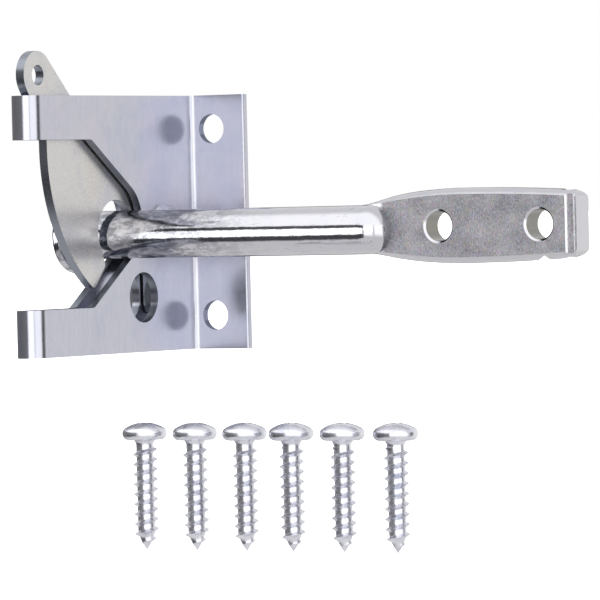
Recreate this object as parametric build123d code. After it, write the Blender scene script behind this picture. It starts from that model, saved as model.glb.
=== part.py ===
"""Self-latching gate latch: folded housing, gravity pawl, pivot rivet, strike bar and six screws.

Millimetres. X runs along the strike bar, -Y points out from the post's face, +Z is up.
The origin lies on the post's face, midway between the two flanges, at half the housing's height.
"""

import math
import os

from build123d import *

# ---- Screws: four for the post, two for the gate ----
SCREW_LENGTH = 28.2        # under the head
SCREW_CORE_RADIUS = 2.2
SCREW_THREAD_RADIUS = 3.15
SCREW_PITCH = 2.55
SCREW_RIDGE = 0.45         # half the width of a thread ridge at its foot
SCREW_NECK = 1.9           # length of the flare under the head
SCREW_NECK_RADIUS = 2.75
SCREW_POINT = 5.3
SCREW_HEAD_RADIUS = 5.7
SCREW_HEAD_HEIGHT = 4.5
SCREW_HEAD_RIM = 1.7       # radius of the round rim
DRIVE_WIDTH = 1.5
DRIVE_LENGTH = 5.0
DRIVE_DEPTH = 1.9

# ---- Strike bar ----
ROD_RADIUS = 6.35
HEAD_OVERHANG = 3.65       # upset head on the bar's free end, beyond the rod
HEAD_THICKNESS = 3.0
HEAD_ROUNDING = 1.1
HEAD_GAP = 5.9             # from the web's outer face to the head
NOSE_REACH = 80.0          # centre of the round nose from the latch's mid-plane
FLAT_LENGTH = 60.95        # from the nose's centre to the end
FLAT_THICKNESS = 6.4
FLAT_HEIGHT = 19.3
FLAT_END_HEIGHT = 17.0
FLAT_RISE = 0.6            # middle of the flat above the bar's axis
FLAT_BULGE = 1.65          # how far the forged edges swell past the flat faces
FLAT_SPREAD = 33.0         # length over which the flat grows to its full height
FLAT_ROOT = 16.6           # length over which the rod's section turns into the flat's
FLAT_CORNER = 2.6
FLAT_STATIONS = 12         # cross-sections from the nose to the end
FLAT_SKIN = 0.05           # dressed off each face, so that the faces are true planes
GATE_HOLE_CLEARANCE = 0.75
GATE_HOLE_SPACING = 29.6
GATE_HOLE_FROM_END = 10.95
GATE_HOLE_RIM = 0.5        # small bevel on the front rim of each hole
NICK_DEPTH = 1.1
NICK_WIDTH = 2.7           # half the width of the V at twice its depth
NICK_FROM_END = 9.3
NICK_SKEW = 32            # degrees the V is struck askew
END_GROOVE_DEPTH = 0.45
END_GROOVE_RADIUS = 2.4
END_GROOVE_FROM_END = 1.9

# ---- Housing: one sheet folded flange, web, fold, web, flange ----
SHEET = 2.25               # thickness of the sheet
PAWL_THICKNESS = 2.5
PAWL_SIDE_GAP = 0.55       # between the pawl and each web
HOUSING_HEIGHT = 68.0
HOUSING_DEPTH = 77.0       # post's face to the outside of the folds at the arm tips
FLANGE_REACH = 16.6        # flange edge beyond the outer face of its web
BEND_RADIUS = 1.4          # inside radius of the two bends at the flanges
SHEARED_EDGE = 0.45        # rounding of the flanges' upright edges
UPPER_ARM = 11.5           # height of the arm over the mouth
LOWER_ARM = 12.4           # height of the arm under the mouth
THROAT_CLEARANCE = 4.85    # round bottom of the mouth, beyond the rod's radius
THROAT_DEPTH = 38.1        # centre of the throat from the post's face
THROAT_RISE = 0.6          # centre of the throat above the origin
MOUTH_HALF_ANGLE = 35.0    # slope of the mouth's two sides, in degrees
MOUTH_CORNER = 2.0         # rounding where a side meets its arm
ROD_BEHIND_THROAT = 2.85   # the bar rests low in the back of the throat
ROD_UNDER_THROAT = 3.3

# ---- Holes in the housing ----
POST_HOLE_CLEARANCE = 0.8
POST_HOLE_FROM_WEB = 6.35  # hole centre beyond the outer face of the web
POST_HOLE_FROM_EDGE = 9.0  # hole centre from the top or the bottom
PADLOCK_RADIUS = 6.7
PADLOCK_DEPTH = 27.0       # padlock hole from the post's face
PADLOCK_DROP = 19.5        # padlock hole below the origin

# ---- Pivot rivet ----
PIVOT_DEPTH = 17.85        # rivet's axis from the post's face
RIVET_RADIUS = 3.15
RIVET_HEAD_OVERHANG = 1.85
RIVET_HEAD_HEIGHT = 2.4
RIVET_TAIL_OVERHANG = 1.45
RIVET_TAIL_HEIGHT = 1.9
RIVET_RIM_SHARE = 0.25     # upright part of a head's edge, as a share of its height
RIVET_FIT = 0.03           # radial clearance in the webs
PIVOT_FIT = 0.08           # radial running clearance in the pawl

# ---- Pawl ----
BOSS_CLEARANCE = 0.96      # between the boss and the bar while the pawl swings
EAR_INSET = 7.3            # ear's centre from the arm tips
EAR_ABOVE = 5.3            # ear's centre above the housing
EAR_RADIUS = 6.3
CORD_HOLE_RADIUS = 2.65
SHOULDER_INSET = 26.95     # corner of the sloping top edge from the arm tips
SHOULDER_BELOW = 5.0       # and below the housing's top
SHOULDER_ROUNDING = 20.0
NECK_INSET = 10.75         # where the neck meets the belly
NECK_BELOW = 10.5
NECK_ROUNDING = 7.0
BELLY_INSET = 15.4         # middle of the curved striking edge
BELLY_RISE = 0.7
HOOK_OUT = 28.0            # tip of the hook from the pivot
HOOK_DOWN = 16.9
HOOK_ROUNDING = 1.6
HEEL_ANGLE = 25.0          # inner corner of the hook, below the pivot, in degrees
HEEL_CLEARANCE = 1.1       # between that corner and the bar while the pawl swings
HEEL_ROUNDING = 1.2
ARCH_CLEARANCE = 2.05      # room round the bar under the pawl's arch
ARCH_RISE = 0.85           # centre of the arch above the bar's axis
SWING = 50.0               # turn, in degrees, over which the bar's path is cleared
TAIL_GAP = 0.95            # between the tail and the padlock hole
TAIL_WIDTH = 8.5
TAIL_DOWN = 24.0
TAIL_ROUNDING = 3.0

# ---- The loose screws' places, in a row under the bar ----
SCREW_ROW_BELOW = 16.6     # tops of the heads below the housing
SCREW_ROW_OUT = 70.0       # from the post's face
SCREW_PLACES = (32.1, 47.5, 62.6, 76.6, 91.8, 107.5)

# ---- Sizes that follow from the ones above ----
WEB_GAP = PAWL_THICKNESS + 2 * PAWL_SIDE_GAP
WEB_OUTSIDE = WEB_GAP / 2 + SHEET
FLANGE_EDGE = WEB_OUTSIDE + FLANGE_REACH
HALF_HEIGHT = HOUSING_HEIGHT / 2
THROAT_RADIUS = ROD_RADIUS + THROAT_CLEARANCE
POST_HOLE_RADIUS = SCREW_THREAD_RADIUS + POST_HOLE_CLEARANCE
GATE_HOLE_RADIUS = SCREW_THREAD_RADIUS + GATE_HOLE_CLEARANCE
ROD_DEPTH = THROAT_DEPTH - ROD_BEHIND_THROAT
ROD_DROP = ROD_UNDER_THROAT - THROAT_RISE
HEAD_RADIUS = ROD_RADIUS + HEAD_OVERHANG
HEAD_REACH = WEB_OUTSIDE + HEAD_GAP + HEAD_THICKNESS
FLAT_END = NOSE_REACH + FLAT_LENGTH
FLAT_MIDDLE = FLAT_RISE - ROD_DROP
ROD_PLACE = (-ROD_DEPTH, -ROD_DROP)
PIVOT_PLACE = (-PIVOT_DEPTH, 0)
PIVOT_TO_ROD = math.dist(ROD_PLACE, PIVOT_PLACE)
BOSS_RADIUS = PIVOT_TO_ROD - ROD_RADIUS - BOSS_CLEARANCE
HEEL_RADIUS = PIVOT_TO_ROD + ROD_RADIUS + HEEL_CLEARANCE


def along_x(radius, y, z, start, end):
    """A cylinder parallel to X."""
    disc = Plane.YZ.offset(start) * Pos(y, z) * Circle(radius)
    return extrude(disc, end - start)


def along_y(radius, x, z, start, end):
    """A cylinder parallel to Y."""
    rod = Pos(x, (start + end) / 2, z) * Rot(90, 0, 0)
    return rod * Cylinder(radius, abs(end - start))


def corner(sketch, y, z):
    """The vertex of a flat outline that lies nearest to a point."""
    return sketch.vertices().sort_by_distance((y, z, 0))[0]


def polar(centre, radius, degrees):
    """A point at a distance and a bearing from a centre."""
    angle = math.radians(degrees)
    return (centre[0] + radius * math.cos(angle), centre[1] + radius * math.sin(angle))


def bearing(centre, point):
    """Direction from a centre to a point, in degrees."""
    return math.degrees(math.atan2(point[1] - centre[1], point[0] - centre[0]))


def tangent_point(centre, radius, point, side):
    """Where a line from the point touches the circle; side is +1 or -1."""
    turn = math.degrees(math.acos(radius / math.dist(centre, point)))
    return polar(centre, radius, bearing(centre, point) + side * turn)


def mouth_outline():
    """The V-shaped mouth with its round throat, in the plane of the webs."""
    angle = math.radians(MOUTH_HALF_ANGLE)
    touch_out = THROAT_RADIUS * math.sin(angle)
    touch_up = THROAT_RADIUS * math.cos(angle)
    top = HALF_HEIGHT - UPPER_ARM
    bottom = LOWER_ARM - HALF_HEIGHT
    y_touch = -THROAT_DEPTH + touch_out
    y_top = y_touch - (top - THROAT_RISE - touch_up) / math.tan(angle)
    y_bottom = y_touch - (THROAT_RISE - touch_up - bottom) / math.tan(angle)
    y_open = -HOUSING_DEPTH - WEB_OUTSIDE
    wedge = Polygon(
        (y_touch, THROAT_RISE + touch_up),
        (y_top, top),
        (y_open, top),
        (y_open, bottom),
        (y_bottom, bottom),
        (y_touch, THROAT_RISE - touch_up),
        align=None,
    )
    mouth = wedge + Pos(-THROAT_DEPTH, THROAT_RISE) * Circle(THROAT_RADIUS)
    return fillet([corner(mouth, y_top, top), corner(mouth, y_bottom, bottom)], MOUTH_CORNER)


def housing_plan():
    """The folded sheet seen from above: two flanges, two webs and the fold at the arm tips."""
    fold_centre = WEB_OUTSIDE - HOUSING_DEPTH
    flanges = Pos(0, -SHEET / 2) * Rectangle(2 * FLANGE_EDGE, SHEET)
    webs = Pos(0, fold_centre / 2) * Rectangle(2 * WEB_OUTSIDE, -fold_centre)
    outside = flanges + webs + Pos(0, fold_centre) * Circle(WEB_OUTSIDE)
    inner_corners = [corner(outside, side * WEB_OUTSIDE, -SHEET) for side in (-1, 1)]
    outside = fillet(inner_corners, BEND_RADIUS)
    gap = Pos(0, fold_centre / 2) * Rectangle(WEB_GAP, -fold_centre)
    gap += Pos(0, fold_centre) * Circle(WEB_GAP / 2)
    plan = outside - gap
    back_corners = [corner(plan, side * WEB_GAP / 2, 0) for side in (-1, 1)]
    return fillet(back_corners, BEND_RADIUS + SHEET)


def latch_housing():
    body = extrude(housing_plan(), HALF_HEIGHT, both=True)
    upright = body.edges().filter_by(Axis.Z)
    body = fillet(upright.filter_by(lambda edge: abs(edge.center().X) > FLANGE_EDGE - SHEARED_EDGE), SHEARED_EDGE)
    body -= extrude(Plane.YZ * mouth_outline(), 2 * WEB_OUTSIDE, both=True)
    hole_x = WEB_OUTSIDE + POST_HOLE_FROM_WEB
    hole_z = HALF_HEIGHT - POST_HOLE_FROM_EDGE
    for x in (-hole_x, hole_x):
        for z in (-hole_z, hole_z):
            body -= along_y(POST_HOLE_RADIUS, x, z, -2 * SHEET, SHEET)
    body -= along_x(PADLOCK_RADIUS, -PADLOCK_DEPTH, -PADLOCK_DROP, -2 * WEB_OUTSIDE, 2 * WEB_OUTSIDE)
    body -= along_x(RIVET_RADIUS + RIVET_FIT, *PIVOT_PLACE, -2 * WEB_OUTSIDE, 2 * WEB_OUTSIDE)
    return body


def dome_radius(radius, height):
    """Radius of the sphere whose cap has this base radius and height."""
    return (radius ** 2 + height ** 2) / (2 * height)


def domed_cap(radius, height, start, facing):
    """A low dome on the rivet's axis, standing on a web's outer face."""
    rim = (facing * height * RIVET_RIM_SHARE, radius)
    crown = (facing * height, 0)
    sphere = dome_radius(radius, height * (1 - RIVET_RIM_SHARE))
    with BuildSketch(Plane.XY) as half:
        with BuildLine():
            Polyline(crown, (0, 0), (0, radius), rim)
            RadiusArc(rim, crown, facing * sphere)
        make_face()
    return Pos(start, *PIVOT_PLACE) * revolve(half.sketch, Axis.X)


def pivot_rivet():
    shank = along_x(RIVET_RADIUS, *PIVOT_PLACE, -WEB_OUTSIDE, WEB_OUTSIDE)
    head = domed_cap(RIVET_RADIUS + RIVET_HEAD_OVERHANG, RIVET_HEAD_HEIGHT, WEB_OUTSIDE, 1)
    tail = domed_cap(RIVET_RADIUS + RIVET_TAIL_OVERHANG, RIVET_TAIL_HEIGHT, -WEB_OUTSIDE, -1)
    return shank + head + tail


def bar_path():
    """The ring sector that the bar sweeps under the pawl as the pawl swings up."""
    start = bearing(PIVOT_PLACE, ROD_PLACE)
    ring = Pos(*PIVOT_PLACE) * (Circle(HEEL_RADIUS) - Circle(BOSS_RADIUS))
    wedge = Polygon(
        PIVOT_PLACE,
        polar(PIVOT_PLACE, 2 * HEEL_RADIUS, start),
        polar(PIVOT_PLACE, 2 * HEEL_RADIUS, start + SWING),
        align=None,
    )
    return ring & wedge


def pawl_blank():
    """Ear, neck, curved belly, hook and the tapering body back to the pivot."""
    pivot_y, pivot_z = PIVOT_PLACE
    ear = (EAR_INSET - HOUSING_DEPTH, HALF_HEIGHT + EAR_ABOVE)
    neck = (NECK_INSET - HOUSING_DEPTH, HALF_HEIGHT - NECK_BELOW)
    belly = (BELLY_INSET - HOUSING_DEPTH, BELLY_RISE)
    shoulder = (SHOULDER_INSET - HOUSING_DEPTH, HALF_HEIGHT - SHOULDER_BELOW)
    hook = (pivot_y - HOOK_OUT, pivot_z - HOOK_DOWN)
    heel = polar(PIVOT_PLACE, HEEL_RADIUS, 180 + HEEL_ANGLE)
    ear_front = tangent_point(ear, EAR_RADIUS, neck, -1)
    ear_back = tangent_point(ear, EAR_RADIUS, shoulder, 1)
    boss_top = tangent_point(PIVOT_PLACE, BOSS_RADIUS, shoulder, -1)
    with BuildSketch() as blank:
        with BuildLine():
            ThreePointArc(neck, belly, hook)
            Polyline(hook, heel, PIVOT_PLACE, boss_top, shoulder, ear_back, ear, ear_front, neck)
        make_face()
    outline = blank.sketch + Pos(*ear) * Circle(EAR_RADIUS)
    outline = fillet(corner(outline, *hook), HOOK_ROUNDING)
    outline = fillet(corner(outline, *neck), NECK_ROUNDING)
    outline = fillet(corner(outline, *shoulder), SHOULDER_ROUNDING)
    return outline - Pos(*ear) * Circle(CORD_HOLE_RADIUS)


def pawl_outline():
    """The blank with its boss and tail, opened for the bar and the rivet."""
    pivot_y, pivot_z = PIVOT_PLACE
    tail_front = PADLOCK_RADIUS + TAIL_GAP - PADLOCK_DEPTH
    tail = Pos(tail_front + TAIL_WIDTH / 2, pivot_z - TAIL_DOWN / 2)
    outline = pawl_blank() + tail * RectangleRounded(TAIL_WIDTH, TAIL_DOWN, TAIL_ROUNDING)
    outline += Pos(*PIVOT_PLACE) * Circle(BOSS_RADIUS)
    outline -= Pos(-ROD_DEPTH, ARCH_RISE - ROD_DROP) * Circle(ROD_RADIUS + ARCH_CLEARANCE)
    outline -= bar_path()
    heel = polar(PIVOT_PLACE, HEEL_RADIUS, 180 + HEEL_ANGLE)
    outline = fillet(corner(outline, *heel), HEEL_ROUNDING)
    return outline - Pos(*PIVOT_PLACE) * Circle(RIVET_RADIUS + PIVOT_FIT)


def pawl():
    return extrude(Plane.YZ * pawl_outline(), PAWL_THICKNESS / 2, both=True)


def flat_section(x, middle, front_half, widest_half, back_half):
    """One cross-section of the forged flat: two straight faces and two swollen edges."""
    front = -ROD_DEPTH - FLAT_SKIN
    back = -ROD_DEPTH + FLAT_THICKNESS + FLAT_SKIN
    centre = (front + back) / 2
    with BuildSketch(Plane.YZ.offset(x)) as section:
        with BuildLine():
            Line((front, middle - front_half), (front, middle + front_half))
            ThreePointArc(
                (front, middle + front_half),
                (centre, middle + widest_half),
                (back, middle + back_half),
            )
            Line((back, middle + back_half), (back, middle - back_half))
            ThreePointArc(
                (back, middle - back_half),
                (centre, middle - widest_half),
                (front, middle - front_half),
            )
        make_face()
    return section.sketch


def flat_half_height(run):
    """Half the flat's height at a distance from its root: it spreads, then narrows to its end."""
    root_half = ROD_RADIUS
    full_half = FLAT_HEIGHT / 2
    if run < FLAT_SPREAD:
        return root_half + (full_half - root_half) * math.sin(run / FLAT_SPREAD * math.pi / 2)
    past = (run - FLAT_SPREAD) / (FLAT_END - NOSE_REACH + ROD_RADIUS - FLAT_SPREAD)
    return full_half - (FLAT_HEIGHT - FLAT_END_HEIGHT) / 2 * past ** 2


def flat_sections():
    """Sections from the rod's own round back to the full flat."""
    root = NOSE_REACH - ROD_RADIUS
    root_middle = -ROD_DROP
    root_front = ROD_RADIUS - FLAT_SKIN
    root_widest = math.sqrt(ROD_RADIUS ** 2 - (FLAT_THICKNESS / 2) ** 2)
    root_back = root_widest / 4
    sections = []
    for station in range(FLAT_STATIONS):
        run = (FLAT_END - root) * station / (FLAT_STATIONS - 1)
        turned = math.sin(min(run / FLAT_ROOT, 1) * math.pi / 2)
        half = flat_half_height(run)
        straight = half - FLAT_BULGE
        sections.append(flat_section(
            root + run,
            root_middle + turned * (FLAT_MIDDLE - root_middle),
            root_front + turned * (straight - root_front),
            root_widest + turned * (half - root_widest),
            root_back + turned * (straight - root_back),
        ))
    return sections


def forged_flat():
    """The flat for the gate's screws, spreading from the bar's back half."""
    flat = loft(Sketch() + flat_sections())
    root = NOSE_REACH - ROD_RADIUS
    outline = Pos(root, FLAT_MIDDLE) * RectangleRounded(2 * (FLAT_END - root), FLAT_END_HEIGHT, FLAT_CORNER)
    rounded = extrude(Plane.XZ.offset(ROD_DEPTH) * outline, 2 * FLAT_THICKNESS, both=True)
    tip = Pos(FLAT_END, -ROD_DEPTH, FLAT_MIDDLE) * Box(4 * FLAT_CORNER, 4 * FLAT_THICKNESS, 2 * FLAT_HEIGHT)
    flat -= tip - rounded
    slab_middle = FLAT_THICKNESS / 2 - ROD_DEPTH
    slab = Pos(FLAT_END, slab_middle, FLAT_MIDDLE) * Box(4 * FLAT_LENGTH, FLAT_THICKNESS, 2 * FLAT_HEIGHT)
    return flat & slab


def gate_holes():
    """The two screw holes, each with a small bevel on its front rim."""
    front = -ROD_DEPTH
    last = FLAT_END - GATE_HOLE_FROM_END
    holes = []
    for x in (last, last - GATE_HOLE_SPACING):
        holes.append(along_y(GATE_HOLE_RADIUS, x, FLAT_MIDDLE, front - FLAT_THICKNESS, front + 2 * FLAT_THICKNESS))
        rim = Pos(x, front, FLAT_MIDDLE) * Rot(90, 0, 0)
        holes.append(rim * Cone(GATE_HOLE_RADIUS, GATE_HOLE_RADIUS + 2 * GATE_HOLE_RIM, 2 * GATE_HOLE_RIM))
    return holes


def edge_nick():
    """A V cut askew in the flat's lower edge."""
    x = FLAT_END - NICK_FROM_END
    run = x - (NOSE_REACH - ROD_RADIUS)
    edge = FLAT_MIDDLE - flat_half_height(run)
    nick = Polygon(
        (0, edge + NICK_DEPTH),
        (-NICK_WIDTH, edge - NICK_DEPTH),
        (NICK_WIDTH, edge - NICK_DEPTH),
        align=None,
    )
    wedge = extrude(Plane.XZ * nick, 2 * FLAT_THICKNESS, both=True)
    return Pos(x, -ROD_DEPTH, 0) * Rot(0, 0, NICK_SKEW) * wedge


def strike_bar():
    bar = along_x(ROD_RADIUS, *ROD_PLACE, -HEAD_REACH + HEAD_THICKNESS / 2, NOSE_REACH)
    bar += Pos(NOSE_REACH, *ROD_PLACE) * Sphere(ROD_RADIUS)
    bar += forged_flat()
    head = along_x(HEAD_RADIUS, *ROD_PLACE, -HEAD_REACH, -HEAD_REACH + HEAD_THICKNESS)
    bar += fillet(head.edges().filter_by(GeomType.CIRCLE), HEAD_ROUNDING)
    for hole in gate_holes():
        bar -= hole
    bar -= edge_nick()
    groove_x = FLAT_END - END_GROOVE_FROM_END
    groove_y = -ROD_DEPTH - END_GROOVE_RADIUS + END_GROOVE_DEPTH
    return bar - Pos(groove_x, groove_y, FLAT_MIDDLE) * Cylinder(END_GROOVE_RADIUS, 2 * FLAT_HEIGHT)


def shank_profile():
    """Half of the shank's outline: neck, ridges and point, with Z up and the head's underside at 0."""
    point = -SCREW_LENGTH
    taper_top = point + SCREW_POINT
    outline = [(0, 0), (SCREW_NECK_RADIUS, 0), (SCREW_CORE_RADIUS, -SCREW_NECK)]
    crest = -SCREW_NECK - SCREW_RIDGE
    while crest > taper_top + SCREW_RIDGE:
        outline.append((SCREW_CORE_RADIUS, crest + SCREW_RIDGE))
        outline.append((SCREW_THREAD_RADIUS, crest))
        outline.append((SCREW_CORE_RADIUS, crest - SCREW_RIDGE))
        crest -= SCREW_PITCH
    outline.append((SCREW_CORE_RADIUS, taper_top))
    outline.append((0, point))
    return outline


def screw_head():
    """A pan head: a low dome over a round rim, with a cross recess."""
    ring = SCREW_HEAD_RADIUS - SCREW_HEAD_RIM
    above = SCREW_HEAD_HEIGHT - SCREW_HEAD_RIM
    dome_centre = (above ** 2 - ring ** 2 - SCREW_HEAD_RIM ** 2) / (2 * (above - SCREW_HEAD_RIM))
    dome = SCREW_HEAD_HEIGHT - dome_centre
    shoulder = polar((0, dome_centre), dome, bearing((0, dome_centre), (ring, SCREW_HEAD_RIM)))
    with BuildSketch(Plane.XZ) as half:
        with BuildLine():
            Polyline((0, SCREW_HEAD_HEIGHT), (0, 0), (ring, 0))
            ThreePointArc((ring, 0), (SCREW_HEAD_RADIUS, SCREW_HEAD_RIM), shoulder)
            RadiusArc(shoulder, (0, SCREW_HEAD_HEIGHT), -dome)
        make_face()
    head = revolve(half.sketch, Axis.Z)
    for turn in (0, 90):
        slot = Rot(0, 0, turn) * Box(DRIVE_LENGTH, DRIVE_WIDTH, 2 * DRIVE_DEPTH)
        head -= Pos(0, 0, SCREW_HEAD_HEIGHT) * slot
    return head


def wood_screw():
    half = make_face(Plane.XZ * Polyline(*shank_profile(), close=True))
    return revolve(half, Axis.Z) + screw_head()


def build_parts():
    parts = {
        "latch_housing": latch_housing(),
        "pivot_rivet": pivot_rivet(),
        "pawl": pawl(),
        "strike_bar": strike_bar(),
    }
    screw = wood_screw()
    for index, x in enumerate(SCREW_PLACES):
        underside = -HALF_HEIGHT - SCREW_ROW_BELOW - SCREW_HEAD_HEIGHT
        parts[f"wood_screw_{index + 1}"] = Pos(x, -SCREW_ROW_OUT, underside) * screw
    return parts


os.makedirs("parts", exist_ok=True)
for name, shape in build_parts().items():
    solids = shape.solids()
    export_step(solids[0] if len(solids) == 1 else Compound(children=solids), f"parts/{name}.step")
    print(name, len(solids), round(sum(s.volume for s in solids), 2))
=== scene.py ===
"""Self-latching gate latch: materials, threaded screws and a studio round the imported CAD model."""
import math

import bmesh
import bpy
from bpy.props import FloatProperty, FloatVectorProperty, IntProperty, PointerProperty
from mathutils import Matrix, Vector


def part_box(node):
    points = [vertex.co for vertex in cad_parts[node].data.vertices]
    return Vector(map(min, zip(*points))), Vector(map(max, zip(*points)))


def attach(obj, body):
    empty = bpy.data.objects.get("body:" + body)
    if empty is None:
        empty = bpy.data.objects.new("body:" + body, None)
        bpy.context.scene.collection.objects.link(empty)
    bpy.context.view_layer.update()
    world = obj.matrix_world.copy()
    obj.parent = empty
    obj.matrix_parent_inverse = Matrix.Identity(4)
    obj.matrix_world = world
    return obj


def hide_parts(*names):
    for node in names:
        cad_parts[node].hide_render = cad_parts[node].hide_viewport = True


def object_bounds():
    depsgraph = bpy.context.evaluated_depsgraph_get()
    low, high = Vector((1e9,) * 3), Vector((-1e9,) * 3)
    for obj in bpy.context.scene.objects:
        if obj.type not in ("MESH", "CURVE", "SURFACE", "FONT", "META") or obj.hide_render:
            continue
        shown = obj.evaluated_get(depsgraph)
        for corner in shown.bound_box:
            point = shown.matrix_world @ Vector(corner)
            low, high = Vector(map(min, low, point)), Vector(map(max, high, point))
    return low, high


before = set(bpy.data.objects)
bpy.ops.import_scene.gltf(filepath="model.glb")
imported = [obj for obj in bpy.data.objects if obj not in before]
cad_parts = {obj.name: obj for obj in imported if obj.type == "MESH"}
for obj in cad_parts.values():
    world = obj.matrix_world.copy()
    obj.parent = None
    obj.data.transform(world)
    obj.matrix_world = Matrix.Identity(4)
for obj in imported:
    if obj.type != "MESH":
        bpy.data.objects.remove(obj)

bl_info = {
    "name": "Gate latch",
    "version": (1, 0, 0),
    "blender": (4, 5, 0),
    "location": "3D View > Sidebar > Gate latch",
    "description": "Finishes a gate latch: zinc plate, threaded screws and a studio",
    "category": "Object",
}

SCREW_NODES = sorted(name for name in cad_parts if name.startswith("wood_screw_"))
WHOLE_LOW, WHOLE_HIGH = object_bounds()
FULL_TURN = 2 * math.pi
CREASE_ANGLE = math.radians(35.0)    # faces that meet more sharply than this keep a hard edge
FORGED_RUN = 0.0575                  # from the bar's end back to where the forged skin starts
FLAT_HALF_THICKNESS = 0.0032         # its front face lies on the bar's axis
THREAD_OUTLINE = (                   # share of a pitch, and share of the thread's height
    (0.0, 0.0), (0.22, 0.0), (0.32, 0.22), (0.44, 0.8), (0.50, 1.0),
    (0.56, 0.8), (0.68, 0.22), (0.78, 0.0), (1.0, 0.0),
)


# ---- Settings ----

def length(name, description, default):
    """A size in metres."""
    return FloatProperty(name=name, description=description, default=default, min=0.0, unit="LENGTH", precision=5)


def colour(name, description, default):
    """A linear colour."""
    return FloatVectorProperty(name=name, description=description, default=default, subtype="COLOR",
                               size=3, min=0.0, max=1.0)


def angle(name, description, degrees):
    """An angle, given in degrees."""
    return FloatProperty(name=name, description=description, default=math.radians(degrees), subtype="ANGLE")


class LatchScrewSizes(bpy.types.PropertyGroup):
    core: length("Core radius", "Shank between the ridges", 0.0022)
    crest: length("Thread radius", "Radius over the crests", 0.00315)
    pitch: length("Pitch", "Height of one turn", 0.00255)
    neck: length("Neck", "Length of the flare under the head", 0.0014)
    neck_radius: length("Neck radius", "Radius right under the head", 0.00275)
    point: length("Point", "Length of the tapered point", 0.0053)
    rim: length("Rim radius", "Radius of the head's round rim", 0.0017)
    head_height: length("Head height", "Underside to crown", 0.0045)
    recess_width: length("Recess width", "Width of each arm of the cross", 0.0014)
    recess_length: length("Recess length", "Tip to tip of the cross", 0.0052)
    recess_depth: length("Recess depth", "From the crown down", 0.0021)
    sides: IntProperty(name="Sides", description="Facets round the shank", default=40, min=12, max=96)


class LatchFinish(bpy.types.PropertyGroup):
    sheet: colour("Sheet", "Plated sheet", (0.51, 0.515, 0.575))
    sheet_cool: colour("Sheet, cool", "Bluish passivation", (0.44, 0.465, 0.555))
    sheet_warm: colour("Sheet, warm", "Pinkish passivation", (0.56, 0.53, 0.585))
    sheared: colour("Sheared edge", "Cut edges of the sheet", (0.27, 0.29, 0.33))
    pawl: colour("Pawl", "Satin plate", (0.65, 0.635, 0.625))
    pawl_speck: colour("Pawl specks", "Dark specks in the plate", (0.24, 0.23, 0.21))
    rod: colour("Rod", "Bright drawn rod", (0.58, 0.58, 0.605))
    # Painted reflection: the dark colour that stands in for the pawl and web seen in the rod near the latch.
    rod_painted_reflection: colour("Rod, worn", "Scuffed plate near the latch", (0.20, 0.208, 0.23))
    hole_wall: colour("Hole walls", "Duller plate inside the gate holes", (0.24, 0.235, 0.21))
    forged: colour("Forged flat", "Mottled forging skin", (0.105, 0.105, 0.123))
    forged_light: colour("Forged flat, light", "Light crystals of the skin", (0.35, 0.34, 0.357))
    screw: colour("Screw", "Bright plated screw", (0.74, 0.745, 0.79))


class LatchStudio(bpy.types.PropertyGroup):
    azimuth: angle("Azimuth", "Camera's turn round the object", 32.366)
    elevation: angle("Elevation", "Camera's angle above the horizontal", 1.032)
    roll: angle("Roll", "Camera's turn about its own axis", 1.351)
    distance: length("Distance", "Camera to the point it aims at", 1.5516)
    lens: FloatProperty(name="Lens", description="Focal length in millimetres", default=346.4)
    aim: FloatVectorProperty(name="Aim", description="Point the camera looks at",
                             default=(0.02798, 0.01246, -0.02154), size=3, subtype="TRANSLATION", precision=5)
    floor_gap: length("Floor gap", "Floor below the lowest point", 0.0006)


# ---- Mesh helpers ----

def mesh_object(name, bm, material):
    """Finishes a bmesh as an object at the origin with smooth faces and sharp creases."""
    bmesh.ops.recalc_face_normals(bm, faces=bm.faces[:])
    mesh = bpy.data.meshes.new(name)
    bm.to_mesh(mesh)
    bm.free()
    mesh.polygons.foreach_set("use_smooth", [True] * len(mesh.polygons))
    mesh.set_sharp_from_angle(angle=CREASE_ANGLE)
    mesh.materials.append(material)
    piece = bpy.data.objects.new(name, mesh)
    bpy.context.scene.collection.objects.link(piece)
    return piece


def top_ring(bm):
    """The open edges at the top of a shell."""
    open_edges = [edge for edge in bm.edges if edge.is_boundary]
    highest = max(vert.co.z for edge in open_edges for vert in edge.verts)
    return [edge for edge in open_edges if all(highest - vert.co.z < 1e-6 for vert in edge.verts)]


def extend_ring(bm, edges, radius, z):
    """Extrudes a round open ring to a new radius and height about the Z axis, and returns its new edges."""
    grown = bmesh.ops.extrude_edge_only(bm, edges=edges)["geom"]
    verts = [item for item in grown if isinstance(item, bmesh.types.BMVert)]
    for vert in verts:
        flat = Vector((vert.co.x, vert.co.y, 0)).normalized()
        vert.co = flat * radius + Vector((0, 0, z))
    return [item for item in grown if isinstance(item, bmesh.types.BMEdge)]


# ---- Screws ----

def smooth_share(value, start, end):
    """0 before start, 1 after end, and an easy slope between."""
    share = min(max((value - start) / (end - start), 0.0), 1.0)
    return share * share * (3 - 2 * share)


def core_radius(sizes, z, tip):
    """Radius of the shank's core at a height: straight, then a slightly full point."""
    above = z - tip
    if above >= sizes.point:
        return sizes.core
    share = max(above / sizes.point, 0.0)
    return sizes.core * math.sin(share * math.pi / 2) ** 0.95


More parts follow.
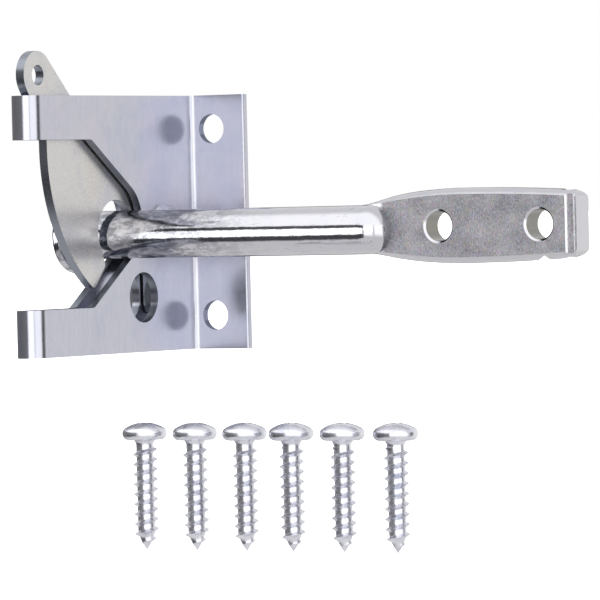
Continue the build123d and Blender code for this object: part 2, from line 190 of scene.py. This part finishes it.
def threaded_shank(bm, sizes, tip):
    """One pitch of the thread's outline, swept down a helix and shaped to the point."""
    start = -sizes.neck + sizes.pitch
    chain = []
    for share, rise in THREAD_OUTLINE:
        radius = sizes.core + rise * (sizes.crest - sizes.core)
        chain.append(bm.verts.new((radius, 0, start - share * sizes.pitch)))
    for upper, lower in zip(chain, chain[1:]):
        bm.edges.new((upper, lower))
    turns = math.ceil((start - tip) / sizes.pitch) + 1
    steps = turns * sizes.sides
    bmesh.ops.spin(bm, geom=bm.verts[:] + bm.edges[:], cent=(0, 0, 0), axis=(0, 0, 1),
                   dvec=(0, 0, -sizes.pitch / sizes.sides), angle=-turns * FULL_TURN, steps=steps)
    bmesh.ops.remove_doubles(bm, verts=bm.verts[:], dist=1e-6)
    for height, clear_outer, clear_inner in ((-sizes.neck, True, False), (tip + 0.0004, False, True)):
        bmesh.ops.bisect_plane(bm, geom=bm.verts[:] + bm.edges[:] + bm.faces[:], plane_co=(0, 0, height),
                               plane_no=(0, 0, 1), clear_outer=clear_outer, clear_inner=clear_inner)
    for vert in bm.verts:
        flat = Vector((vert.co.x, vert.co.y, 0))
        ridge = flat.length - sizes.core
        fade = smooth_share(vert.co.z, -sizes.neck, -sizes.neck - 0.35 * sizes.pitch)
        fade *= smooth_share(vert.co.z, tip + 0.2 * sizes.point, tip + 0.65 * sizes.point)
        radius = core_radius(sizes, vert.co.z, tip) + ridge * fade
        vert.co = flat.normalized() * radius + Vector((0, 0, vert.co.z))


def close_point(bm, tip):
    """Closes the open ring at the tip with a fan."""
    open_edges = [edge for edge in bm.edges if edge.is_boundary]
    lowest = min(vert.co.z for edge in open_edges for vert in edge.verts)
    ring = [edge for edge in open_edges if all(vert.co.z - lowest < 1e-6 for vert in edge.verts)]
    grown = bmesh.ops.extrude_edge_only(bm, edges=ring)["geom"]
    verts = [item for item in grown if isinstance(item, bmesh.types.BMVert)]
    for vert in verts:
        vert.co = Vector((0, 0, tip))
    bmesh.ops.remove_doubles(bm, verts=verts, dist=1e-6)


def head_outline(sizes, head_radius):
    """Radius and height pairs from the neck to the crown: flare, underside, round rim and low dome."""
    points = [(sizes.core, -sizes.neck)]
    for step in range(1, 7):
        share = step / 6
        flare = 1 - math.cos(share * math.pi / 2)
        points.append((sizes.core + flare * (sizes.neck_radius - sizes.core), -sizes.neck * (1 - share)))
    ring = head_radius - sizes.rim
    above = sizes.head_height - sizes.rim
    centre = (above ** 2 - ring ** 2 - sizes.rim ** 2) / (2 * (above - sizes.rim))
    dome = sizes.head_height - centre
    meet = math.atan2(sizes.rim - centre, ring)
    for step in range(13):
        turn = -math.pi / 2 + step / 12 * (math.pi / 2 + meet)
        points.append((ring + sizes.rim * math.cos(turn), sizes.rim * (1 + math.sin(turn))))
    for step in range(1, 12):
        turn = meet + step / 12 * (math.pi / 2 - meet)
        points.append((dome * math.cos(turn), centre + dome * math.sin(turn)))
    return points


def cross_cutter(sizes):
    """Two tapered bars crossed, for the drive recess."""
    bm = bmesh.new()
    for turn in (0, math.pi / 2):
        half_long, half_wide = sizes.recess_length / 2, sizes.recess_width / 2
        grown = bmesh.ops.create_cube(bm, size=1.0)["verts"]
        for vert in grown:
            taper = 1.0 if vert.co.z > 0 else 0.45
            x = math.copysign(half_long * taper, vert.co.x)
            y = math.copysign(half_wide * (0.75 + 0.25 * taper), vert.co.y)
            z = sizes.head_height + (0.001 if vert.co.z > 0 else -sizes.recess_depth)
            vert.co = (x, y, z)
        bmesh.ops.rotate(bm, verts=grown, cent=(0, 0, 0), matrix=Matrix.Rotation(turn, 3, "Z"))
    bmesh.ops.recalc_face_normals(bm, faces=bm.faces[:])
    mesh = bpy.data.meshes.new("recess_cutter")
    bm.to_mesh(mesh)
    bm.free()
    cutter = bpy.data.objects.new("recess_cutter", mesh)
    bpy.context.scene.collection.objects.link(cutter)
    return cutter


def cut_recess(piece, sizes):
    """Takes the cross out of the head and leaves no modifier behind."""
    cutter = cross_cutter(sizes)
    cut = piece.modifiers.new("recess", "BOOLEAN")
    cut.operation = "DIFFERENCE"
    cut.solver = "EXACT"
    cut.use_self = True
    cut.object = cutter
    bpy.context.view_layer.update()
    graph = bpy.context.evaluated_depsgraph_get()
    mesh = bpy.data.meshes.new_from_object(piece.evaluated_get(graph))
    piece.modifiers.clear()
    piece.data = mesh
    mesh.set_sharp_from_angle(angle=CREASE_ANGLE)
    bpy.data.objects.remove(cutter)


def build_screw(name, node, sizes, material, turn):
    """One threaded screw in the place of its CAD node."""
    low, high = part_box(node)
    head_radius = (high.x - low.x) / 2
    underside = high.z - sizes.head_height
    tip = low.z - underside
    bm = bmesh.new()
    threaded_shank(bm, sizes, tip)
    close_point(bm, tip)
    edges = top_ring(bm)
    for radius, z in head_outline(sizes, head_radius)[1:]:
        edges = extend_ring(bm, edges, radius, z)
    bmesh.ops.contextual_create(bm, geom=edges)
    bmesh.ops.rotate(bm, verts=bm.verts[:], cent=(0, 0, 0), matrix=Matrix.Rotation(turn, 3, "Z"))
    bmesh.ops.remove_doubles(bm, verts=bm.verts[:], dist=1e-7)
    piece = mesh_object(name, bm, material)
    cut_recess(piece, sizes)
    piece.data.transform(Matrix.Translation(((low.x + high.x) / 2, (low.y + high.y) / 2, underside)))
    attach(piece, "housing")
    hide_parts(node)


# ---- Shader helpers ----

class Tree:
    """Short hand for adding and joining nodes."""

    def __init__(self, nodes_of):
        self.tree = nodes_of
        self.nodes = nodes_of.nodes
        self.links = nodes_of.links

    def add(self, kind, settings=None, **inputs):
        node = self.nodes.new(kind)
        for key, value in (settings or {}).items():
            setattr(node, key, value)
        for key, value in inputs.items():
            numbered = key[0] == "i" and key[1:].isdigit()
            self.feed(node.inputs[int(key[1:]) if numbered else key], value)
        return node

    def feed(self, socket, value):
        if isinstance(value, bpy.types.NodeSocket):
            self.links.new(value, socket)
        elif hasattr(value, "__len__") and len(value) == 3 and socket.type == "RGBA":
            socket.default_value = (*value, 1.0)
        else:
            socket.default_value = value

    def math(self, operation, first, second=0.0, third=0.0):
        node = self.add("ShaderNodeMath", {"operation": operation}, i0=first, i1=second, i2=third)
        return node.outputs[0]

    def remap(self, value, low, high, to_low=0.0, to_high=1.0, kind="SMOOTHSTEP"):
        node = self.add("ShaderNodeMapRange", {"interpolation_type": kind}, Value=value)
        for key, number in (("From Min", low), ("From Max", high), ("To Min", to_low), ("To Max", to_high)):
            node.inputs[key].default_value = number
        return node.outputs[0]

    def mix(self, factor, first, second, blend="MIX"):
        settings = {"data_type": "RGBA", "blend_type": blend}
        node = self.add("ShaderNodeMix", settings, Factor=factor, i6=first, i7=second)
        return node.outputs[2]

    def noise(self, vector, scale, detail=3.0, rough=0.55, distortion=0.0):
        node = self.add("ShaderNodeTexNoise", None, Vector=vector, Scale=scale, Detail=detail,
                        Roughness=rough, Distortion=distortion)
        return node.outputs["Fac"]

    def stretch(self, vector, scale):
        node = self.add("ShaderNodeMapping", None, Vector=vector)
        node.inputs["Scale"].default_value = scale
        return node.outputs[0]


def new_group(name, inputs, outputs):
    """An empty shader group with named sockets; returns its tree helper and its two end nodes."""
    group = bpy.data.node_groups.new(name, "ShaderNodeTree")
    for socket, kind, default in inputs:
        made = group.interface.new_socket(name=socket, in_out="INPUT", socket_type=kind)
        if default is not None:
            made.default_value = default
    for socket, kind in outputs:
        group.interface.new_socket(name=socket, in_out="OUTPUT", socket_type=kind)
    tree = Tree(group)
    return tree, tree.add("NodeGroupInput"), tree.add("NodeGroupOutput")


def plating_group():
    """Cloudy zinc passivation: two tints drift over a base colour, with fine grain in the roughness."""
    tree, start, end = new_group(
        "zinc_plating",
        (("Vector", "NodeSocketVector", None), ("Base", "NodeSocketColor", (0.8, 0.8, 0.8, 1)),
         ("Cool", "NodeSocketColor", (0.7, 0.7, 0.8, 1)), ("Warm", "NodeSocketColor", (0.8, 0.75, 0.8, 1)),
         ("Cloud size", "NodeSocketFloat", 0.012), ("Cloud amount", "NodeSocketFloat", 0.5)),
        (("Color", "NodeSocketColor"), ("Cloud", "NodeSocketFloat"), ("Grain", "NodeSocketFloat")))
    scale = tree.math("DIVIDE", 1.0, start.outputs["Cloud size"])
    vector = start.outputs["Vector"]
    cloud = tree.noise(vector, scale, 4.0, 0.6, 0.6)
    drift = tree.noise(tree.stretch(vector, (1.7, 1.3, 0.8)), tree.math("MULTIPLY", scale, 0.6), 3.0)
    amount = start.outputs["Cloud amount"]
    cool = tree.math("MULTIPLY", tree.remap(cloud, 0.45, 0.72), amount)
    warm = tree.math("MULTIPLY", tree.remap(drift, 0.50, 0.75), amount)
    tinted = tree.mix(cool, start.outputs["Base"], start.outputs["Cool"])
    tinted = tree.mix(warm, tinted, start.outputs["Warm"])
    tree.feed(end.inputs["Color"], tinted)
    tree.feed(end.inputs["Cloud"], cloud)
    tree.feed(end.inputs["Grain"], tree.noise(vector, 2600.0, 2.0, 0.7))
    return tree.tree


def speck_group():
    """Small dark specks and pits of uneven size."""
    tree, start, end = new_group(
        "plate_specks",
        (("Vector", "NodeSocketVector", None), ("Spacing", "NodeSocketFloat", 0.0016),
         ("Amount", "NodeSocketFloat", 0.5)),
        (("Mask", "NodeSocketFloat"),))
    scale = tree.math("DIVIDE", 1.0, start.outputs["Spacing"])
    spots = tree.add("ShaderNodeTexVoronoi", {"feature": "F1"}, Vector=start.outputs["Vector"], Scale=scale)
    patches = tree.noise(start.outputs["Vector"], tree.math("MULTIPLY", scale, 0.35), 3.0)
    round_spots = tree.remap(spots.outputs["Distance"], 0.24, 0.05)
    chosen = tree.remap(patches, 0.52, 0.66)
    mask = tree.math("MULTIPLY", tree.math("MULTIPLY", round_spots, chosen), start.outputs["Amount"])
    tree.feed(end.inputs["Mask"], mask)
    return tree.tree


def ripple_group():
    """Slow unevenness and fine roughness of a rolled or drawn surface, as a height."""
    tree, start, end = new_group(
        "surface_ripple",
        (("Vector", "NodeSocketVector", None), ("Wave size", "NodeSocketFloat", 0.01),
         ("Tooth size", "NodeSocketFloat", 0.0006), ("Tooth share", "NodeSocketFloat", 0.1)),
        (("Height", "NodeSocketFloat"),))
    waves = tree.noise(start.outputs["Vector"], tree.math("DIVIDE", 1.0, start.outputs["Wave size"]), 2.0, 0.4)
    teeth = tree.noise(start.outputs["Vector"], tree.math("DIVIDE", 1.0, start.outputs["Tooth size"]), 2.0, 0.6)
    height = tree.math("MULTIPLY_ADD", teeth, start.outputs["Tooth share"], waves)
    tree.feed(end.inputs["Height"], height)
    return tree.tree


def use_group(tree, group, **inputs):
    node = tree.add("ShaderNodeGroup")
    node.node_tree = group
    for key, value in inputs.items():
        tree.feed(node.inputs[key.replace("_", " ")], value)
    return node


def new_metal(name):
    """A metallic Principled material, with its tree, its shader and its object coordinates."""
    material = bpy.data.materials.new(name)
    material.use_nodes = True
    tree = Tree(material.node_tree)
    tree.nodes.clear()
    shader = tree.add("ShaderNodeBsdfPrincipled")
    shader.inputs["Metallic"].default_value = 1.0
    out = tree.add("ShaderNodeOutputMaterial")
    tree.links.new(shader.outputs[0], out.inputs[0])
    place = tree.add("ShaderNodeTexCoord")
    return material, tree, shader, place


def add_bump(tree, shader, height, distance):
    """Feeds a height through a Bump node; distance is the height of the relief in metres."""
    bump = tree.add("ShaderNodeBump", None, Height=height)
    bump.inputs["Distance"].default_value = distance
    bump.inputs["Strength"].default_value = 1.0
    tree.feed(shader.inputs["Normal"], bump.outputs[0])


def axis_part(tree, vector, axis):
    """One axis of a vector."""
    return tree.add("ShaderNodeSeparateXYZ", None, Vector=vector).outputs["XYZ".index(axis)]


# ---- Materials ----

def sheet_material(finish, groups):
    """Rolled sheet with cloudy bright zinc, and duller sheared edges."""
    material, tree, shader, place = new_metal("zinc_sheet")
    vector = place.outputs["Object"]
    plating = use_group(tree, groups["plating"], Vector=vector, Base=finish.sheet, Cool=finish.sheet_cool,
                        Warm=finish.sheet_warm, Cloud_size=0.014, Cloud_amount=0.75)
    up = tree.math("ABSOLUTE", axis_part(tree, place.outputs["Normal"], "Z"))
    sheared = tree.remap(up, 0.30, 0.42)
    rolling = tree.noise(tree.stretch(vector, (4.0, 4.0, 1.0)), 220.0, 4.0, 0.6)
    tone = tree.remap(rolling, 0.3, 0.7, 0.97, 1.03, "LINEAR")
    tint = tree.add("ShaderNodeCombineColor", None, Red=tone, Green=tone, Blue=tone).outputs[0]
    face = tree.mix(1.0, plating.outputs["Color"], tint, "MULTIPLY")
    tree.feed(shader.inputs["Base Color"], tree.mix(sheared, face, finish.sheared))
    rough = tree.remap(plating.outputs["Grain"], 0.3, 0.7, 0.17, 0.27, "LINEAR")
    tree.feed(shader.inputs["Roughness"], tree.math("MULTIPLY_ADD", sheared, 0.12, rough))
    ripple = use_group(tree, groups["ripple"], Vector=vector,
                       Wave_size=0.011, Tooth_size=0.0007, Tooth_share=0.035)
    add_bump(tree, shader, ripple.outputs["Height"], 0.00005)
    return material


def pawl_material(finish, groups):
    """Satin plate with a warm cast and dark specks."""
    material, tree, shader, place = new_metal("zinc_pawl")
    vector = place.outputs["Object"]
    plating = use_group(tree, groups["plating"], Vector=vector, Base=finish.pawl, Cool=finish.sheet,
                        Warm=(0.64, 0.61, 0.56), Cloud_size=0.011, Cloud_amount=0.6)
    specks = use_group(tree, groups["specks"], Vector=vector, Spacing=0.0011, Amount=0.8)
    flat_face = tree.remap(tree.math("ABSOLUTE", axis_part(tree, place.outputs["Normal"], "X")), 0.5, 0.8)
    face = tree.mix(specks.outputs["Mask"], plating.outputs["Color"], finish.pawl_speck)
    tree.feed(shader.inputs["Base Color"], tree.mix(flat_face, finish.sheared, face))
    rough = tree.remap(plating.outputs["Grain"], 0.3, 0.7, 0.24, 0.36, "LINEAR")
    tree.feed(shader.inputs["Roughness"], rough)
    ripple = use_group(tree, groups["ripple"], Vector=vector,
                       Wave_size=0.009, Tooth_size=0.0005, Tooth_share=0.06)
    add_bump(tree, shader, ripple.outputs["Height"], 0.00004)
    return material


def rivet_material(finish, groups):
    """Bright plated rivet, lightly hammered on its heads."""
    material, tree, shader, place = new_metal("zinc_rivet")
    vector = place.outputs["Object"]
    plating = use_group(tree, groups["plating"], Vector=vector, Base=finish.sheet, Cool=finish.sheet_cool,
                        Warm=finish.sheet_warm, Cloud_size=0.005, Cloud_amount=0.5)
    tree.feed(shader.inputs["Base Color"], plating.outputs["Color"])
    tree.feed(shader.inputs["Roughness"], tree.remap(plating.outputs["Grain"], 0.3, 0.7, 0.14, 0.26, "LINEAR"))
    ripple = use_group(tree, groups["ripple"], Vector=vector,
                       Wave_size=0.0024, Tooth_size=0.0004, Tooth_share=0.08)
    add_bump(tree, shader, ripple.outputs["Height"], 0.00008)
    return material


def bar_material(finish, groups, nose_x, end_x, flat_y):
    """Drawn rod with a painted dark reflection of the pawl and web near the latch, that turns into a mottled
    forged flat beyond the nose.
    """
    half_thick = FLAT_HALF_THICKNESS
    material, tree, shader, place = new_metal("zinc_bar")
    vector = place.outputs["Object"]
    along = axis_part(tree, vector, "X")
    depth = axis_part(tree, vector, "Y")
    forged_place = tree.remap(along, nose_x - 0.001, nose_x + 0.001)
    facing = tree.math("ABSOLUTE", axis_part(tree, place.outputs["Normal"], "Y"))
    front = tree.remap(facing, 0.90, 0.96)
    off = tree.math("ABSOLUTE", tree.math("SUBTRACT", depth, flat_y))
    forged = tree.math("MULTIPLY", tree.math("MULTIPLY", forged_place, front),
                       tree.remap(off, half_thick + 0.0002, half_thick + 0.00005))
    # Painted shade: a dark line along the crease where the forged flat's front face meets its rounded edge.
    crease_shade = tree.math("MULTIPLY", tree.remap(off, half_thick, half_thick + 0.0001),
                       tree.remap(off, half_thick + 0.0007, half_thick + 0.0003))
    crease_shade = tree.math("MULTIPLY", crease_shade, forged_place)
    crease_shade = tree.math("MULTIPLY", crease_shade, tree.remap(facing, 0.3, 0.5))
    inner = tree.math("MULTIPLY", tree.remap(facing, 0.4, 0.2), tree.remap(off, half_thick + 0.0001, half_thick))
    near_middle = tree.remap(tree.math("ABSOLUTE", axis_part(tree, vector, "Z")), 0.0075, 0.0070)
    hole_wall = tree.math("MULTIPLY", tree.math("MULTIPLY", inner, near_middle),
                          tree.math("MULTIPLY", forged_place, tree.remap(along, end_x - 0.002, end_x - 0.003)))
    # Painted reflection: this mask darkens the rod near the latch in place of the pawl and web reflected there;
    # fine dark streaks along the rod in the same colour join it.
    reflection_noise = tree.noise(tree.stretch(vector, (0.45, 1.0, 1.0)), 520.0, 5.0, 0.75)
    reflection_mask = tree.math("MULTIPLY", tree.remap(along, nose_x - 0.028, nose_x - 0.062), tree.remap(reflection_noise, 0.40, 0.60))
    streaks = tree.remap(tree.noise(tree.stretch(vector, (0.3, 1.0, 1.0)), 900.0, 4.0, 0.8), 0.56, 0.72)
    reflection_mask = tree.math("MAXIMUM", tree.math("MULTIPLY", reflection_mask, 0.85), tree.math("MULTIPLY", streaks, 0.45))
    reflection_mask = tree.math("MULTIPLY", reflection_mask, tree.math("SUBTRACT", 1.0, forged_place))
    plating = use_group(tree, groups["plating"], Vector=vector, Base=finish.rod, Cool=(0.54, 0.555, 0.61),
                        Warm=(0.595, 0.575, 0.59), Cloud_size=0.006, Cloud_amount=0.5)
    crystals = tree.noise(tree.stretch(vector, (2.2, 1.0, 0.8)), 1700.0, 3.0, 0.8)
    patches = tree.noise(vector, 190.0, 3.0, 0.6)
    mottle = tree.remap(tree.math("MULTIPLY_ADD", patches, 0.3, crystals), 0.44, 0.88)
    skin = tree.mix(mottle, finish.forged, finish.forged_light)
    tints = tree.add("ShaderNodeTexNoise", None, Vector=vector, Scale=900.0, Detail=2.0)
    tinted = tree.mix(0.22, skin, tints.outputs["Color"], "OVERLAY")
    bright = tree.mix(reflection_mask, plating.outputs["Color"], finish.rod_painted_reflection)
    body = tree.mix(forged, tree.mix(hole_wall, bright, finish.hole_wall), tinted)
    crease_shaded = tree.mix(tree.math("MULTIPLY", crease_shade, 0.8), body, (0.12, 0.12, 0.13))
    tree.feed(shader.inputs["Base Color"], crease_shaded)
    smooth = tree.remap(plating.outputs["Grain"], 0.3, 0.7, 0.07, 0.14, "LINEAR")
    rough = tree.remap(crystals, 0.3, 0.7, 0.26, 0.46, "LINEAR")
    mixed = tree.math("MULTIPLY_ADD", forged, tree.math("SUBTRACT", rough, smooth), smooth)
    tree.feed(shader.inputs["Roughness"], mixed)
    ripple = use_group(tree, groups["ripple"], Vector=vector,
                       Wave_size=0.006, Tooth_size=0.0009, Tooth_share=0.30)
    pits = tree.math("MULTIPLY", tree.math("MULTIPLY", crystals, forged), 1.5)
    add_bump(tree, shader, tree.math("ADD", ripple.outputs["Height"], pits), 0.00006)
    return material


def screw_material(finish, groups):
    """Bright plated steel with a faint cloud and fine tooth."""
    material, tree, shader, place = new_metal("zinc_screw")
    vector = place.outputs["Object"]
    plating = use_group(tree, groups["plating"], Vector=vector, Base=finish.screw, Cool=finish.sheet_cool,
                        Warm=finish.sheet_warm, Cloud_size=0.004, Cloud_amount=0.6)
    tree.feed(shader.inputs["Base Color"], plating.outputs["Color"])
    tree.feed(shader.inputs["Roughness"], tree.remap(plating.outputs["Grain"], 0.3, 0.7, 0.24, 0.34, "LINEAR"))
    ripple = use_group(tree, groups["ripple"], Vector=vector,
                       Wave_size=0.003, Tooth_size=0.0004, Tooth_share=0.1)
    add_bump(tree, shader, ripple.outputs["Height"], 0.00003)
    return material


def shared_groups():
    """The node groups that several materials use, built once."""
    made = {group.name: group for group in bpy.data.node_groups}
    return {
        "plating": made.get("zinc_plating") or plating_group(),
        "specks": made.get("plate_specks") or speck_group(),
        "ripple": made.get("surface_ripple") or ripple_group(),
    }


def repaint(node, material):
    """Gives a carried-over CAD node its material."""
    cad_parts[node].material_slots[0].material = material


# ---- Studio ----

def studio_world():
    """Light and dark bands by direction, tuned for the metal's reflections; the backdrop itself is white."""
    world = bpy.data.worlds.new("studio_room")
    world.use_nodes = True
    tree = Tree(world.node_tree)
    tree.nodes.clear()
    direction = tree.add("ShaderNodeTexCoord").outputs["Generated"]
    split = tree.add("ShaderNodeSeparateXYZ", None, Vector=direction)
    x, y, z = split.outputs
    bearing = tree.math("ARCTAN2", y, x)
    ring = tree.add("ShaderNodeValToRGB", None, Fac=tree.remap(bearing, -math.pi, math.pi, 0, 1, "LINEAR"))
    bands = (
        (-180, 0.20), (-100, 0.25), (-97, 0.12), (-91, 0.12), (-88, 2.1), (-46, 2.1), (-44, 0.9), (-39, 0.9),
        (-37, 1.75), (10, 1.7), (20, 0.10), (41, 0.10), (46, 1.05), (98, 1.05), (112, 0.24), (180, 0.24),
    )
    fill_ramp(ring.color_ramp, [((degrees + 180) / 360, value) for degrees, value in bands])
    height = tree.math("ARCSINE", z)
    back = tree.remap(y, -0.25, 0.15)
    above = tree.mix(back, (1.60, 1.60, 1.62), (0.95, 0.95, 0.97))
    below = (0.85, 0.84, 0.85)
    upper_gap = tree.math("MULTIPLY", tree.remap(height, 0.15, 0.18), tree.remap(height, 0.40, 0.35))
    lower_gap = tree.math("MULTIPLY", tree.remap(height, -0.20, -0.24), tree.remap(height, -0.66, -0.58))
    left = tree.remap(bearing, math.radians(-88), math.radians(-98))
    room = tree.mix(tree.remap(height, 0.30, 0.40), ring.outputs[0], above)
    room = tree.mix(tree.remap(height, -0.22, -0.62), room, below)
    room = tree.mix(tree.math("MULTIPLY", upper_gap, left), room, (0.10, 0.10, 0.11))
    room = tree.mix(tree.math("MULTIPLY", lower_gap, left), room, (0.08, 0.08, 0.09))
    seen = tree.add("ShaderNodeLightPath").outputs["Is Camera Ray"]
    final = tree.mix(seen, room, (1.0, 1.0, 1.0))
    background = tree.add("ShaderNodeBackground", None, Color=final)
    out = tree.add("ShaderNodeOutputWorld")
    tree.links.new(background.outputs[0], out.inputs[0])
    return world


def fill_ramp(ramp, stops):
    """Sets a colour ramp's stops to grey values."""
    while len(ramp.elements) > 1:
        ramp.elements.remove(ramp.elements[0])
    ramp.elements[0].position = stops[0][0]
    ramp.elements[0].color = (stops[0][1],) * 3 + (1,)
    for position, value in stops[1:]:
        element = ramp.elements.new(position)
        element.color = (value, value, value, 1)


def soft_box(name, toward, size, distance, centre, radiance, receivers=None):
    """A rectangular light at a bearing and height from the centre, facing it.

    With receivers it lights those pieces and no others.
    """
    bearing, height = (math.radians(value) for value in toward)
    reach = Vector((math.cos(bearing) * math.cos(height), math.sin(bearing) * math.cos(height), math.sin(height)))
    light = bpy.data.lights.new(name, "AREA")
    light.shape = "RECTANGLE"
    light.size, light.size_y = size
    light.energy = radiance * 4 * size[0] * size[1]
    lamp = bpy.data.objects.new(name, light)
    lamp.location = centre + reach * distance
    lamp.rotation_euler = reach.to_track_quat("Z", "Y").to_euler()
    lamp.visible_camera = False
    bpy.context.scene.collection.objects.link(lamp)
    if receivers:
        group = bpy.data.collections.new(name + "_receivers")
        for piece in receivers:
            group.objects.link(piece)
        lamp.light_linking.receiver_collection = group
    return lamp


def studio_camera(studio):
    """The camera, turned about its own axis by a small roll."""
    az, el, roll = studio.azimuth, studio.elevation, studio.roll
    back = Vector((math.sin(az) * math.cos(el), -math.cos(az) * math.cos(el), math.sin(el)))
    level = Vector((math.cos(az), math.sin(az), 0))
    upright = back.cross(level)
    right = math.cos(roll) * level - math.sin(roll) * upright
    up = math.sin(roll) * level + math.cos(roll) * upright
    data = bpy.data.cameras.new("studio_camera")
    data.sensor_width = 36.0
    data.lens = studio.lens
    data.clip_end = 50.0
    camera = bpy.data.objects.new("studio_camera", data)
    place = Vector(studio.aim) + back * studio.distance
    turn = Matrix((right, up, back)).transposed()
    camera.matrix_world = Matrix.Translation(place) @ turn.to_4x4()
    bpy.context.scene.collection.objects.link(camera)
    bpy.context.scene.camera = camera


def dark_card(low, high):
    """A faintly glowing dark card behind the screw flange, seen only in the metal's reflections, where it paints
    a dark reflection.
    """
    bm = bmesh.new()
    bmesh.ops.create_grid(bm, x_segments=1, y_segments=1, size=0.5)
    bmesh.ops.scale(bm, verts=bm.verts[:], vec=(high.x * 0.8, high.z - low.z, 1))
    bmesh.ops.rotate(bm, verts=bm.verts[:], cent=(0, 0, 0), matrix=Matrix.Rotation(math.pi / 2, 3, "X"))
    bmesh.ops.translate(bm, verts=bm.verts[:], vec=(high.x * 0.6, high.y + 0.003, (low.z + high.z) / 2))
    material = bpy.data.materials.new("dark_card")
    material.use_nodes = True
    shader = material.node_tree.nodes["Principled BSDF"]
    shader.inputs["Base Color"].default_value = (0.02, 0.02, 0.02, 1)
    shader.inputs["Specular IOR Level"].default_value = 0.0
    shader.inputs["Emission Color"].default_value = (0.42, 0.44, 0.55, 1)
    shader.inputs["Emission Strength"].default_value = 1.0
    card = mesh_object("dark_card", bm, material)
    card.visible_camera = False
    card.visible_shadow = False
    card.visible_diffuse = False


def studio_floor(low, gap):
    """A large pale floor just under the object."""
    bm = bmesh.new()
    bmesh.ops.create_grid(bm, x_segments=1, y_segments=1, size=20.0)
    bmesh.ops.translate(bm, verts=bm.verts[:], vec=(0, 0, low.z - gap))
    material = bpy.data.materials.new("pale_floor")
    material.use_nodes = True
    shader = material.node_tree.nodes["Principled BSDF"]
    shader.inputs["Base Color"].default_value = (0.9, 0.9, 0.9, 1)
    shader.inputs["Roughness"].default_value = 0.9
    shader.inputs["Specular IOR Level"].default_value = 0.0
    shader.inputs["Emission Color"].default_value = (1, 1, 1, 1)
    shader.inputs["Emission Strength"].default_value = 0.75
    floor = mesh_object("studio_floor", bm, material)
    floor.visible_glossy = False
    floor.visible_shadow = False
    floor.visible_diffuse = False


# ---- Operators ----

class LATCH_OT_sheet_parts(bpy.types.Operator):
    """Finish the folded housing"""
    bl_idname = "latch.sheet_parts"
    bl_label = "Finish the housing"

    def execute(self, context):
        repaint("latch_housing", sheet_material(context.scene.latch_finish, shared_groups()))
        return {"FINISHED"}


class LATCH_OT_pawl(bpy.types.Operator):
    """Finish the pawl"""
    bl_idname = "latch.pawl"
    bl_label = "Finish the pawl"

    def execute(self, context):
        repaint("pawl", pawl_material(context.scene.latch_finish, shared_groups()))
        return {"FINISHED"}


class LATCH_OT_rivet(bpy.types.Operator):
    """Finish the pivot rivet"""
    bl_idname = "latch.rivet"
    bl_label = "Finish the rivet"

    def execute(self, context):
        repaint("pivot_rivet", rivet_material(context.scene.latch_finish, shared_groups()))
        return {"FINISHED"}


class LATCH_OT_bar(bpy.types.Operator):
    """Finish the strike bar"""
    bl_idname = "latch.bar"
    bl_label = "Finish the strike bar"

    def execute(self, context):
        low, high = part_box("strike_bar")
        nose_x = high.x - FORGED_RUN
        flat_y = (low.y + high.y) / 2 + FLAT_HALF_THICKNESS
        material = bar_material(context.scene.latch_finish, shared_groups(), nose_x, high.x, flat_y)
        repaint("strike_bar", material)
        return {"FINISHED"}


class LATCH_OT_screws(bpy.types.Operator):
    """Build the six threaded screws"""
    bl_idname = "latch.screws"
    bl_label = "Build the screws"

    def execute(self, context):
        material = screw_material(context.scene.latch_finish, shared_groups())
        for index, node in enumerate(SCREW_NODES):
            build_screw(f"screw_{index + 1}", node, context.scene.latch_screws, material, 0.3 * index)
        return {"FINISHED"}


class LATCH_OT_studio(bpy.types.Operator):
    """Set up the floor, the lights and the camera"""
    bl_idname = "latch.studio"
    bl_label = "Set up the studio"

    def execute(self, context):
        studio = context.scene.latch_studio
        centre = (Vector(WHOLE_LOW) + Vector(WHOLE_HIGH)) / 2
        context.scene.world = studio_world()
        bar = [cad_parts["strike_bar"]]
        soft_box("bar_light", (-122, -3), (1.2, 0.50), 1.1, centre, 1.85, bar)
        dark_card(*(Vector(corner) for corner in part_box("latch_housing")))
        studio_floor(Vector(WHOLE_LOW), studio.floor_gap)
        studio_camera(studio)
        context.scene.view_settings.view_transform = "Standard"
        return {"FINISHED"}


class LATCH_PT_panel(bpy.types.Panel):
    """Buttons for each part of the latch and for the studio"""
    bl_label = "Gate latch"
    bl_idname = "LATCH_PT_panel"
    bl_space_type = "VIEW_3D"
    bl_region_type = "UI"
    bl_category = "Gate latch"

    def draw(self, context):
        for operator in OPERATORS:
            self.layout.operator(operator.bl_idname)
        for group in (context.scene.latch_screws, context.scene.latch_finish, context.scene.latch_studio):
            box = self.layout.box()
            for name in group.__annotations__:
                box.prop(group, name)


OPERATORS = (LATCH_OT_sheet_parts, LATCH_OT_pawl, LATCH_OT_rivet, LATCH_OT_bar, LATCH_OT_screws, LATCH_OT_studio)
SETTINGS = (("latch_screws", LatchScrewSizes), ("latch_finish", LatchFinish), ("latch_studio", LatchStudio))


def register():
    for _, group in SETTINGS:
        bpy.utils.register_class(group)
    for operator in OPERATORS:
        bpy.utils.register_class(operator)
    bpy.utils.register_class(LATCH_PT_panel)
    for name, group in SETTINGS:
        setattr(bpy.types.Scene, name, PointerProperty(type=group))


def unregister():
    for name, _ in SETTINGS:
        delattr(bpy.types.Scene, name)
    bpy.utils.unregister_class(LATCH_PT_panel)
    for operator in reversed(OPERATORS):
        bpy.utils.unregister_class(operator)
    for _, group in reversed(SETTINGS):
        bpy.utils.unregister_class(group)


def main():
    register()
    bpy.ops.latch.sheet_parts()
    bpy.ops.latch.pawl()
    bpy.ops.latch.rivet()
    bpy.ops.latch.bar()
    bpy.ops.latch.screws()
    bpy.ops.latch.studio()


if __name__ == "__main__":
    main()
